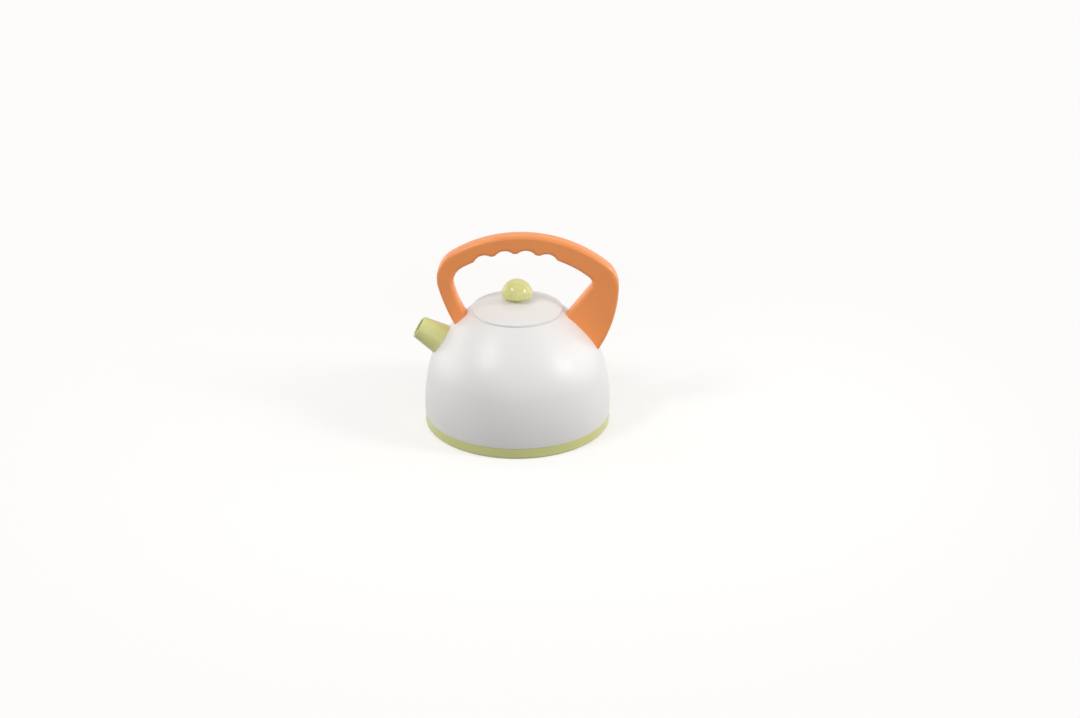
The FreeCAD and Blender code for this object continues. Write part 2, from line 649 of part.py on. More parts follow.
def cut_finger_grooves(piece):
    """Cut the row of finger grooves about the centre of the grip's curve."""
    sketch = new_sketch(piece, "XZ_Plane", "groove_outline")
    sketch.setExpression("AttachmentOffset.Base.x", "Worked.grip_centre")
    sketch.setExpression("AttachmentOffset.Base.y", "Worked.grip_centre_height")
    document.recompute()
    angle = "Worked.last_groove * 1deg"
    across = f"Worked.groove_orbit * sin({angle})"
    up = f"Worked.groove_orbit * cos({angle})"
    draw_circle(sketch, across, up, "Sizes.groove_radius")
    groove = piece.newObject("PartDesign::Pocket", "finger_groove")
    groove.Profile = sketch
    groove.Type = "ThroughAll"
    groove.Midplane = True
    document.recompute()
    row = piece.newObject("PartDesign::PolarPattern", "finger_grooves")
    row.Originals = [groove]
    row.Axis = (sketch, ["N_Axis"])
    row.setExpression("Angle", "Sizes.groove_pitch * (Sizes.groove_count - 1)")
    row.setExpression("Occurrences", "Sizes.groove_count")
    piece.Tip = row
    document.recompute()


def dome_height(radius, depth):
    """Formula for the height of the dome at a radius, so far below its outer face."""
    curve = f"(Sizes.dome_curve - {depth})"
    return f"(Worked.dome_centre_height + sqrt({curve}^2 - ({radius} - Worked.dome_centre)^2))"


def add_tongue(piece, side, tongue):
    """Add a tongue below a foot, with a snap that catches under the body's wall."""
    far = f"({tongue.near} + {tongue.width})"
    catch = f"({far} + Sizes.snap_step)"
    top = f"{dome_height(tongue.near, '0')} + Sizes.tongue_root"
    snap = f"{dome_height(f'({catch} + Sizes.press_gap)', 'Sizes.wall')} - Sizes.press_gap"
    end = f"{snap} - Sizes.snap_length"
    corners = [
        (tongue.near, end),
        (f"({far} - Sizes.snap_step)", end),
        (catch, snap),
        (far, snap),
        (far, top),
        (tongue.near, top),
    ]
    sketch = new_sketch(piece, "XZ_Plane", f"{side}_tongue_outline")
    draw_outline(sketch, [Corner(f"{tongue.side} * {across}", up) for across, up in corners])
    pad_through(piece, sketch, "Sizes.tongue_thickness", f"{side}_tongue")


def make_handle():
    """Orange handle: a padded outline with finger grooves, soft edges and two snap tongues."""
    piece = new_piece("handle")
    outline = new_sketch(piece, "XZ_Plane", "side_outline")
    draw_outline(outline, handle_corners())
    pad_through(piece, outline, "Sizes.handle_thickness", "plain_form")
    corner_rounds = [
        ("arch_left", -worked.arch_left, worked.arch_left_height),
        ("arch_right", worked.arch_right, worked.arch_right_height),
        ("grip_left", -worked.grip_left, worked.grip_left_height),
        ("grip_right", worked.grip_right, worked.grip_right_height),
    ]
    for name, across, up in corner_rounds:
        round_edges(piece, is_crosswise_near(across, up), f"Sizes.{name}_round", f"round_{name}")
    cut_finger_grooves(piece)
    round_edges(piece, is_ridge, "Worked.ridge_round", "soft_ridges")
    round_edges(piece, is_side_edge, "Worked.edge_round", "soft_edges")
    seat_on_dome(piece, "seat")
    for side, tongue in TONGUES.items():
        add_tongue(piece, side, tongue)
    return piece


def make_lid():
    """White lid: a domed disc with an upright edge, a plug below and a hole for the knob."""
    piece = new_piece("lid")
    outline = new_sketch(piece, "XZ_Plane", "lid_outline")
    inner = "(Worked.plug_radius - Sizes.plug_wall)"
    fall = "(Sizes.lid_rise - Sizes.lid_edge) / (Worked.lid_radius - Sizes.boss_radius)"
    corner_height = f"Sizes.lid_edge + {fall} * (Worked.lid_radius - {inner}) - Sizes.lid_wall"
    corners = [
        Corner("Worked.post_hole", "Sizes.lid_rise - Sizes.lid_wall"),
        Corner("Sizes.boss_radius", "Sizes.lid_rise - Sizes.lid_wall", "Sizes.lid_curve", True),
        Corner(inner, corner_height),
        Corner(inner, "-Sizes.plug_depth"),
        Corner("Worked.plug_radius", "-Sizes.plug_depth"),
        Corner("Worked.plug_radius", "0"),
        Corner("Worked.lid_radius", "0"),
        Corner("Worked.lid_radius", "Sizes.lid_edge", "Sizes.lid_curve"),
        Corner("Sizes.boss_radius", "Sizes.lid_rise"),
        Corner("Worked.post_hole", "Sizes.lid_rise"),
    ]
    draw_outline(outline, corners)
    turn(piece, "Revolution", outline, "V_Axis", "lid_form")
    round_edges(piece, is_circle_at(worked.lid_radius, sizes.lid_edge), "Sizes.lid_round", "soft_edge")
    piece.setExpression("Placement.Base.z", "Worked.rim_height")
    return piece


def make_knob():
    """Green knob: a ball top on a stem, with a post that snaps through the lid."""
    piece = new_piece("lid_knob")
    outline = new_sketch(piece, "XZ_Plane", "knob_outline")
    below = "-(Sizes.lid_wall + Sizes.press_gap)"
    middle = "Sizes.stem_height + Sizes.knob_skirt"
    corners = [
        Corner("0", f"{below} - Sizes.snap_length"),
        Corner("Sizes.post_radius - Sizes.snap_step", f"{below} - Sizes.snap_length"),
        Corner("Sizes.post_radius + Sizes.snap_step", below),
        Corner("Sizes.post_radius", below),
        Corner("Sizes.post_radius", "0"),
        Corner("Sizes.stem_radius", "0"),
        Corner("Sizes.stem_radius", "Sizes.stem_height"),
        Corner("Sizes.knob_radius", "Sizes.stem_height"),
        Corner("Sizes.knob_radius", middle, "Sizes.knob_radius"),
        Corner("0", f"{middle} + Sizes.knob_radius"),
    ]
    draw_outline(outline, corners)
    turn(piece, "Revolution", outline, "V_Axis", "knob_form")
    lower_edge = is_circle_at(sizes.knob_radius, sizes.stem_height)
    round_edges(piece, lower_edge, "Sizes.knob_round", "soft_lower_edge")
    piece.setExpression("Placement.Base.z", "Worked.knob_seat")
    return piece


PIECES = [make_body(), make_base(), make_spout(), make_handle(), make_lid(), make_knob()]
document.recompute()

for item in document.Objects:
    if {"Invalid", "Error"} & set(item.State):
        raise RuntimeError(f"{item.Name} is in state {item.State}")
for piece in PIECES:
    if piece.Shape.isNull() or not piece.Shape.isValid():
        raise RuntimeError(f"{piece.Label} has no valid shape")

os.makedirs("parts", exist_ok=True)
for piece in PIECES:
    piece.Shape.exportStep(f"parts/{piece.Label}.step")
    solids = len(piece.Shape.Solids)
    print(f"{piece.Label}: {solids} solid, {piece.Shape.Volume / 1000:.1f} cm3, {piece.Shape.BoundBox}")
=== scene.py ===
"""Toy kettle in moulded plastic: the looks that go over its frame.

Sizes in the classes are millimetres and the meshes are metres, in the frame's own axes: the
origin is the middle of the base on the table, +Z is up and the spout points towards -X.
"""

from __future__ import annotations

import logging
import math
from collections.abc import Sequence
from dataclasses import dataclass
from enum import Enum

import bmesh
import bpy
import numpy as np
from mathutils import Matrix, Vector

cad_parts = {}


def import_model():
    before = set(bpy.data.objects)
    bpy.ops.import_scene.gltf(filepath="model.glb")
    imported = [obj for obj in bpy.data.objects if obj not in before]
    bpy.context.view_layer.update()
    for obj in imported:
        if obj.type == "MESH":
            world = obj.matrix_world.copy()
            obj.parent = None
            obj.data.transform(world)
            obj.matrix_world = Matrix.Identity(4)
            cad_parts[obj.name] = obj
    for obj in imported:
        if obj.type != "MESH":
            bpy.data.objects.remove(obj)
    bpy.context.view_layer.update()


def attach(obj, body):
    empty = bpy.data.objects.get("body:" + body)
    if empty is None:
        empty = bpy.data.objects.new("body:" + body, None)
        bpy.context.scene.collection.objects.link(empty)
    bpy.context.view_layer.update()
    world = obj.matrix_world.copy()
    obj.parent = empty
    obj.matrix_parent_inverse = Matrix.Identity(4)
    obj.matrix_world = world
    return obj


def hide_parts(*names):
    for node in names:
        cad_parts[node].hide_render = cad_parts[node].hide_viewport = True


log = logging.getLogger("toy_kettle")

MM = 0.001

NEWTON_STEPS = 12
HALVINGS = 30
# Largest distance, and share of its length, from a straight edge's end to its next point
END_GAP, END_SHARE = 0.15, 0.2
# Turn in degrees and step in millimetres of the outlines that are measured along
FINE_TURN, FINE_STEP = 1.0, 0.3
# Distance in metres below which two points are one
SAME_PLACE = 1e-7
SHARP_ANGLE = math.radians(40)

Array = np.ndarray
Object = bpy.types.Object
Tree = bpy.types.NodeTree
Socket = bpy.types.NodeSocket
Span = tuple[float, float]
Triple = tuple[float, float, float]
# Points in millimetres and faces of one or more closed shapes
Shape = tuple[Array, list[list[int]]]


class BodyName(Enum):
    """The two bodies of the frame that the pieces ride on."""

    KETTLE = "kettle"
    LID = "lid"


class Slot(Enum):
    """The record's material slots."""

    WHITE = "white_plastic"
    GREEN = "green_plastic"
    ORANGE = "orange_plastic"


# Outlines


@dataclass(frozen=True)
class Corner:
    """A corner of an outline in a plane.

    Attributes:
        x: place across, in millimetres.
        z: place up, in millimetres.
        curve: radius of the edge that leaves it. Above nought the edge bulges to the right
            of the way it is travelled, below nought to the left, and nought is straight.
        soft: rounding of the corner itself.
    """

    x: float
    z: float
    curve: float = 0.0
    soft: float = 0.0


@dataclass(frozen=True)
class Edge:
    """A straight line or a circle's arc from one point to the next."""

    first: Array
    last: Array
    curve: float

    def centre(self) -> Array:
        """Centre of the arc: the chord's middle, moved square to the chord by the height of
        the triangle that the two radii make with it."""
        along = self.last - self.first
        length = float(np.hypot(*along))
        left = np.array([-along[1], along[0]]) / length
        height = math.sqrt(max(self.curve**2 - length**2 / 4, 0.0))
        return (self.first + self.last) / 2 + math.copysign(height, self.curve) * left

    def left_gap(self, point: Array) -> float:
        """Distance of a point from the edge's whole line or circle, above nought on its left."""
        if self.curve == 0:
            along = self.last - self.first
            across = point - self.first
            return float(along[0] * across[1] - along[1] * across[0]) / float(np.hypot(*along))
        away = float(np.hypot(*(point - self.centre())))
        return math.copysign(1.0, self.curve) * (abs(self.curve) - away)

    def left_way(self, point: Array) -> Array:
        """Direction in which the left gap grows fastest."""
        if self.curve == 0:
            along = self.last - self.first
            return np.array([-along[1], along[0]]) / np.hypot(*along)
        away = point - self.centre()
        return -math.copysign(1.0, self.curve) * away / np.hypot(*away)

    def foot(self, point: Array) -> Array:
        """The place on the edge's line or circle that is nearest to a point."""
        return point - self.left_gap(point) * self.left_way(point)

    def points(self, start: Array, end: Array, turn: float, step: float) -> Array:
        """Points from start to end along the edge.

        A straight edge has a point close to each end, so that the shading of a rounded corner
        stops there.

        Args:
            start: first point, on the edge.
            end: last point, on the edge.
            turn: largest turn between two points, in degrees.
            step: largest distance between two points, in millimetres.

        Returns:
            An array of (x, z) rows.
        """
        length = float(np.hypot(*(end - start)))
        if self.curve == 0:
            near = min(END_GAP / max(length, END_GAP), END_SHARE)
            inner = np.linspace(near, 1 - near, max(2, math.ceil(length / step)))
            mix = np.concatenate([[0.0], inner, [1.0]])[:, None]
            return start + (end - start) * mix
        radius = abs(self.curve)
        sweep = 2 * math.asin(min(length / 2 / radius, 1.0))
        count = max(math.ceil(math.degrees(sweep) / turn), math.ceil(radius * sweep / step), 2)
        return arc_points(self.centre(), start, math.copysign(sweep, self.curve), count)


def arc_points(centre: Array, start: Array, sweep: float, count: int) -> Array:
    """Points of an arc: the start, turned about the centre by equal parts of the sweep."""
    angles = np.linspace(0.0, sweep, count + 1)
    across, up = start - centre
    x = centre[0] + across * np.cos(angles) - up * np.sin(angles)
    z = centre[1] + across * np.sin(angles) + up * np.cos(angles)
    return np.column_stack([x, z])


def ball_centre(before: Edge, after: Edge, side: float, radius: float) -> Array:
    """Centre of the ball that touches two edges, found by Newton's rule from their corner.

    Args:
        before: edge that comes to the corner.
        after: edge that leaves it.
        side: 1 where the ball lies on the left of the way travelled, -1 on the right.
        radius: radius of the ball, in millimetres.

    Returns:
        The centre.
    """
    edges = (before, after)
    ways = [side * edge.left_way(before.last) for edge in edges]
    centre = before.last + radius * (ways[0] + ways[1]) / (1 + float(ways[0] @ ways[1]))
    for _ in range(NEWTON_STEPS):
        gaps = np.array([side * edge.left_gap(centre) - radius for edge in edges])
        slopes = np.array([side * edge.left_way(centre) for edge in edges])
        centre = centre - np.linalg.solve(slopes, gaps)
    return centre


def trace(
    corners: Sequence[Corner], closed: bool, turn: float, step: float = 3.0
) -> Array:
    """Follow an outline and round its corners.

    Args:
        corners: the corners in the order travelled.
        closed: whether the last corner joins the first. An open outline keeps its ends.
        turn: largest turn between two points, in degrees.
        step: largest distance between two points, in millimetres.

    Returns:
        An array of (x, z) rows in millimetres. A closed outline doesn't repeat its start.
    """
    places = [np.array([corner.x, corner.z]) for corner in corners]
    following = places[1:] + places[:1]
    edges = [Edge(a, b, corner.curve) for a, b, corner in zip(places, following, corners)]
    if not closed:
        edges = edges[:-1]
    starts = [edge.first for edge in edges]
    ends = [edge.last for edge in edges]
    rounds: dict[int, Array] = {}
    for index, corner in enumerate(corners):
        if corner.soft == 0:
            continue
        before, after = edges[index - 1], edges[index]
        near, far = before.left_way(before.last), after.left_way(after.first)
        side = math.copysign(1.0, near[0] * far[1] - near[1] * far[0])
        centre = ball_centre(before, after, side, corner.soft)
        ends[index - 1], starts[index] = before.foot(centre), after.foot(centre)
        chord = float(np.hypot(*(starts[index] - ends[index - 1])))
        sweep = 2 * math.asin(min(chord / 2 / corner.soft, 1.0))
        count = max(math.ceil(math.degrees(sweep) / turn), 2)
        rounds[index] = arc_points(centre, ends[index - 1], side * sweep, count)
    runs = []
    for index, edge in enumerate(edges):
        if index in rounds:
            runs.append(rounds[index][:-1])
        runs.append(edge.points(starts[index], ends[index], turn, step)[:-1])
    if not closed:
        runs.append(ends[-1][None, :])
    return np.concatenate(runs)


def along_path(path: Array) -> Array:
    """Distance of each point of a path from its start, along the path."""
    return np.concatenate([[0.0], np.cumsum(np.hypot(*np.diff(path, axis=0).T))])


# Meshes


def add_mesh(name: str, points: Array, faces: list[list[int]]) -> Object:
    """Make a smooth closed object of points in millimetres, with its faces turned outwards.

    Args:
        name: name of the piece.
        points: (n, 3) array of places.
        faces: corner numbers of each face.

    Returns:
        The object, at the origin, unturned.
    """
    mesh = bpy.data.meshes.new(name)
    mesh.from_pydata((points * MM).tolist(), [], faces)
    mesh.validate()
    piece = bpy.data.objects.new(name, mesh)
    bpy.context.scene.collection.objects.link(piece)
    close_and_face_outwards(mesh)
    return piece


def close_and_face_outwards(mesh: bpy.types.Mesh) -> None:
    """Merge doubled points, as at a pole, turn the faces outwards and shade them smoothly."""
    shape = bmesh.new()
    shape.from_mesh(mesh)
    bmesh.ops.remove_doubles(shape, verts=shape.verts, dist=SAME_PLACE)
    bmesh.ops.recalc_face_normals(shape, faces=shape.faces)
    shape.to_mesh(mesh)
    shape.free()
    mesh.shade_smooth()
    mesh.set_sharp_from_angle(angle=SHARP_ANGLE)


def grid_faces(rows: int, columns: int, closed: bool) -> list[list[int]]:
    """Quads of a grid whose point in row i and column j has the number i * columns + j. The
    columns close in a ring, and so do the rows where closed says so."""
    row = np.arange(rows if closed else rows - 1)[:, None]
    column = np.arange(columns)[None, :]
    below, right = (row + 1) % rows, (column + 1) % columns
    quads = [row * columns + column, row * columns + right]
    quads += [below * columns + right, below * columns + column]
    return np.stack(np.broadcast_arrays(*quads), axis=-1).reshape(-1, 4).tolist()


def lathe(name: str, profile: Array, closed: bool, around: int) -> Object:
    """Carry a profile round the kettle's axis.

    The point of the profile at radius r and height z goes to (r cos t, r sin t, z) for each
    angle t.

    Args:
        name: name of the piece.
        profile: (radius, height) rows in millimetres.
        closed: whether the profile is a ring. An open one starts and ends on the axis.
        around: number of steps round the axis.

    Returns:
        The object.
    """
    angle = np.linspace(0, 2 * math.pi, around, endpoint=False)
    radius, height = profile[:, :1], profile[:, 1:]
    x, y = radius * np.cos(angle), radius * np.sin(angle)
    points = np.stack(np.broadcast_arrays(x, y, height), axis=-1).reshape(-1, 3)
    return add_mesh(name, points, grid_faces(len(profile), around, closed))


def bar(rings: Sequence[Array]) -> Shape:
    """Closed bar through rings of points, with a flat face over its first and last ring."""
    count = len(rings[0])
    last = (len(rings) - 1) * count
    faces = grid_faces(len(rings), count, False)
    faces += [list(range(count)), list(range(last + count - 1, last - 1, -1))]
    return np.concatenate(rings), faces


def plate(outline: Array, thickness: float) -> Shape:
    """Flat plate in the XZ plane, half its thickness to each side."""
    sides = [np.full(len(outline), half) for half in (thickness / 2, -thickness / 2)]
    return bar([np.column_stack([outline[:, 0], y, outline[:, 1]]) for y in sides])


def joined(parts: Sequence[Shape]) -> Shape:
    """One list of points and faces for several closed shapes."""
    starts = np.cumsum([0] + [len(points) for points, _ in parts])
    faces = [
        [int(start) + number for number in face]
        for start, (_, shape) in zip(starts, parts)
        for face in shape
    ]
    return np.concatenate([points for points, _ in parts]), faces


def cut_away(piece: Object, tool: Object) -> None:
    """Cut a tool's shape out of a piece and delete the tool."""
    cut = piece.modifiers.new("cut", "BOOLEAN")
    cut.operation = "DIFFERENCE"
    cut.solver = "EXACT"
    cut.object = tool
    finished = piece.evaluated_get(bpy.context.evaluated_depsgraph_get())
    mesh = bpy.data.meshes.new_from_object(finished)
    piece.modifiers.clear()
    piece.data = mesh
    mesh.name = piece.name
    bpy.data.objects.remove(tool)
    close_and_face_outwards(mesh)


# Finishes


def linear(hexa: str) -> tuple[float, float, float, float]:
    """Turn an sRGB hex colour into linear light."""
    shares = [int(hexa[i : i + 2], 16) / 255 for i in (1, 3, 5)]
    light = [s / 12.92 if s <= 0.04045 else ((s + 0.055) / 1.055) ** 2.4 for s in shares]
    return (*light, 1.0)


def blank_tree(owner: bpy.types.Material | bpy.types.World) -> Tree:
    """Empty node tree of a material or a world."""
    owner.use_nodes = True
    owner.node_tree.nodes.clear()
    return owner.node_tree


def add_node(
    tree: Tree,
    kind: str,
    settings: dict[str, object] | None = None,
    inputs: dict[str | int, object] | None = None,
) -> bpy.types.Node:
    """Add one node, set its choices, and set or link its sockets.

    Args:
        tree: node tree of the material.
        kind: Blender's name for the node, after ShaderNode.
        settings: attribute to value.
        inputs: socket name or number to a value, or to the output socket that feeds it.

    Returns:
        The node.
    """
    node = tree.nodes.new("ShaderNode" + kind)
    for name, choice in (settings or {}).items():
        setattr(node, name, choice)
    for name, content in (inputs or {}).items():
        if isinstance(content, Socket):
            tree.links.new(content, node.inputs[name])
        else:
            node.inputs[name].default_value = content
    return node


def noise(tree: Tree, place: Socket, size: float, detail: float, **more: float) -> Socket:
    """Noise whose patches are so many millimetres across."""
    inputs = {"Vector": place, "Scale": 1 / (size * MM), "Detail": detail, **more}
    return add_node(tree, "TexNoise", {}, inputs).outputs[0]


def spread(tree: Tree, value: Socket, before: Span, after: Span, kind: str = "LINEAR") -> Socket:
    """Carry a value from one range to another and hold it there. SMOOTHSTEP gives the share
    3 t^2 - 2 t^3 of the second range for the share t of the first."""
    inputs = {"Value": value, "From Min": before[0], "From Max": before[1]}
    inputs |= {"To Min": after[0], "To Max": after[1]}
    return add_node(tree, "MapRange", {"interpolation_type": kind}, inputs).outputs[0]


def combined(tree: Tree, operation: str, *values: Socket) -> Socket:
    """Work one number out of one or two."""
    node = add_node(tree, "Math", {"operation": operation}, dict(enumerate(values)))
    return node.outputs[0]


def raised(tree: Tree, height: Socket, rise: float, **more: Socket) -> Socket:
    """Normal of a skin that rises by so many millimetres where the height is 1."""
    inputs = {"Height": height, "Distance": rise * MM, "Strength": 1.0, **more}
    return add_node(tree, "Bump", {}, inputs).outputs[0]


def lit(tree: Tree, kind: str, colour: str, strength: float) -> Socket:
    """Plain light of a hex colour: a background or an emission."""
    return add_node(tree, kind, {}, {"Color": linear(colour), "Strength": strength}).outputs[0]


def blend(tree: Tree, share: Socket, first: Socket, second: Socket) -> Socket:
    """The first shader at a share of nought, and the second at 1."""
    return add_node(tree, "MixShader", {}, {0: share, 1: first, 2: second}).outputs[0]


@dataclass(frozen=True)
class MouldedPlastic:
    """Injection-moulded plastic in one colour, with the mould's polish on it.

    The hex colour drifts to its streak where the melt flowed. The glow is the share of light
    that goes into the plastic, by the glow's depth, and comes out again. The skin has ripples,
    patches that hands have dulled, scuffs and, where the mould's halves meet in the XZ plane,
    a parting line of twice the line's width. Sizes, depths, widths and heights are millimetres.
    tone_span and scuff_span are values of the noise, and patch_span and scuff_rise are added
    to the roughness.
    """

    name: str
    colour: str
    streak: str
    roughness: float = 0.27
    glow: float = 0.06
    glow_depth: float = 1.5
    ior: float = 1.5
    flow_size: float = 32.0
    flow_bend: float = 0.4
    tone_span: Span = (0.2, 0.8)
    skin_size: float = 2.4
    skin_height: float = 0.012
    patch_size: float = 18.0
    patch_span: Span = (-0.02, 0.03)
    scuff_size: float = 9.0
    scuff_turn: Triple = (0.5, 0.3, 0.8)
    scuff_stretch: Triple = (1.0, 12.0, 3.0)
    scuff_span: Span = (0.62, 0.74)
    scuff_rise: float = 0.06
    parting_line: bool = False
    line_width: float = 0.35
    line_height: float = 0.08

    def build(self) -> bpy.types.Material:
        """Make the material. Its patterns are worked out from Object coordinates in metres."""
        material = bpy.data.materials.new(self.name)
        tree = blank_tree(material)
        place = add_node(tree, "TexCoord").outputs["Object"]
        flow = noise(tree, place, self.flow_size, detail=1.0, Distortion=self.flow_bend)
        tone = spread(tree, flow, self.tone_span, (0.0, 1.0))
        # The node's two colours are its sockets 6 and 7, and the mixed one is its output 2
        tones = {0: tone, 6: linear(self.colour), 7: linear(self.streak)}
        colour = add_node(tree, "Mix", {"data_type": "RGBA"}, tones)
        shader = add_node(
            tree,
            "BsdfPrincipled",
            {},
            {
                "Base Color": colour.outputs[2],
                "Roughness": self.worn_gloss(tree, place),
                "Normal": self.skin(tree, place),
                "IOR": self.ior,
                "Subsurface Weight": self.glow,
                "Subsurface Radius": (1.0, 1.0, 1.0),
                "Subsurface Scale": self.glow_depth * MM,
            },
        )
        add_node(tree, "OutputMaterial", {}, {"Surface": shader.outputs[0]})
        return material

    def worn_gloss(self, tree: Tree, place: Socket) -> Socket:
        """Roughness that rises in soft patches where hands have dulled the skin, and in fine
        scuffs, which are noise drawn out along one turned axis."""
        patches = noise(tree, place, self.patch_size, detail=3.0)
        mapping = {"Vector": place, "Rotation": self.scuff_turn, "Scale": self.scuff_stretch}
        turned = add_node(tree, "Mapping", {}, mapping)
        scuffs = noise(tree, turned.outputs[0], self.scuff_size, detail=4.0, Roughness=0.7)
        worn = spread(tree, scuffs, self.scuff_span, (0.0, self.scuff_rise))
        least, most = (self.roughness + added for added in self.patch_span)
        dulled = spread(tree, patches, self.tone_span, (least, most))
        return combined(tree, "ADD", dulled, worn)

    def skin(self, tree: Tree, place: Socket) -> Socket:
        """Slight ripples of a moulded skin, and the raised line where the mould's halves meet."""
        waves = noise(tree, place, self.skin_size, detail=1.0)
        ripples = raised(tree, waves, self.skin_height)
        if not self.parting_line:
            return ripples
        axes = add_node(tree, "SeparateXYZ", {}, {0: place})
        away = combined(tree, "ABSOLUTE", axes.outputs["Y"])
        ridge = spread(tree, away, (0.0, self.line_width * MM), (1.0, 0.0), "SMOOTHSTEP")
        return raised(tree, ridge, self.line_height, Normal=ripples)


@dataclass(frozen=True)
class Finishes:
    """The kettle's three plastics."""

    # Polyethylene from a polished mould: soft gloss, a little light goes into it
    white: MouldedPlastic = MouldedPlastic("white_polyethylene", "#efeeec", "#edecea", 0.38, 0.08)
    # The same plastic, dyed lime green
    green: MouldedPlastic = MouldedPlastic("lime_polyethylene", "#e0e09a", "#dbdb91", 0.25)
    # The same plastic, dyed orange, moulded in two halves that meet along the handle
    orange: MouldedPlastic = MouldedPlastic(
        "orange_polyethylene", "#fd9e58", "#f99953", 0.3, parting_line=True
    )


# The kettle


@dataclass(frozen=True)
class Fits:
    """Sizes that more than one piece shares, in millimetres."""

    wall: float = 2.4
    base_height: float = 9.0
    shoulder_height: float = 60.0
    belly_radius: float = 74.5
    belly_height: float = 14.0
    belly_curve: float = 148.0
    shoulder_curve: float = 65.0
    dome_curve: float = 120.0
    rim_radius: float = 36.4
    rim_height: float = 94.6
    mouth_radius: float = 33.0
    skirt_gap: float = 0.25
    post_radius: float = 3.0
    post_gap: float = 0.1

    def side_radius(self, height: float) -> float:
        """Radius of the side wall at a height: the belly's circle."""
        drop = height - self.belly_height
        return self.belly_radius - self.belly_curve + math.sqrt(self.belly_curve**2 - drop**2)

    def side_centre(self) -> Array:
        """Radius and height of the centre of the side's curve."""
        return np.array([self.belly_radius - self.belly_curve, self.belly_height])

    def dome_centre(self) -> Array:
        """Radius and height of the centre of the dome's curve."""
        shoulder = np.array([self.side_radius(self.shoulder_height), self.shoulder_height])
        rim = np.array([self.rim_radius, self.rim_height])
        return Edge(shoulder, rim, self.dome_curve).centre()

    def shoulder_centre(self) -> Array:
        """Centre of the shoulder's curve, which touches the side's and the dome's from inside:
        it is as far from their centres as their radii are larger than its own."""
        first = self.side_centre()
        apart = self.dome_centre() - first
        length = float(np.hypot(*apart))
        near, far = self.belly_curve - self.shoulder_curve, self.dome_curve - self.shoulder_curve
        along = (near**2 - far**2 + length**2) / (2 * length)
        way = apart / length
        return first + along * way + math.sqrt(near**2 - along**2) * np.array([-way[1], way[0]])

    def shoulder_ends(self, depth: float) -> list[Array]:
        """Lower and upper end of the shoulder's curve, so far below the outer face."""
        middle, ends = self.shoulder_centre(), []
        circles = ((self.side_centre(), self.belly_curve), (self.dome_centre(), self.dome_curve))
        for centre, radius in circles:
            way = (middle - centre) / (radius - self.shoulder_curve)
            ends.append(centre + way * (radius - depth))
        return ends

    def outside(self, radius: Array, height: Array) -> Array:
        """Distance of places outside the body, below nought in it: the distance outside the
        shoulder's circle between its two ends, and elsewhere the larger of the distances
        outside the dome's and the side's circles."""
        middle = self.shoulder_centre()
        side, dome, shoulder = (
            np.hypot(radius - centre[0], height - centre[1]) - curve
            for centre, curve in (
                (self.side_centre(), self.belly_curve),
                (self.dome_centre(), self.dome_curve),
                (middle, self.shoulder_curve),
            )
        )
        low, high = (math.atan2(up, across) for across, up in self.shoulder_ends(0.0) - middle)
        turn = np.arctan2(height - middle[1], radius - middle[0])
        return np.where((turn > low) & (turn < high), shoulder, np.maximum(dome, side))


def dress(
    piece: Object, material: bpy.types.Material, body: BodyName, slot: Slot, *nodes: str
) -> None:
    """Give a piece its material and its body, and hide the nodes that it stands for."""
    piece.data.materials.clear()
    piece.data.materials.append(material)
    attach(piece, body.value)
    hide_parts(*nodes)
    log.info("%s: %d faces", piece.name, len(piece.data.polygons))


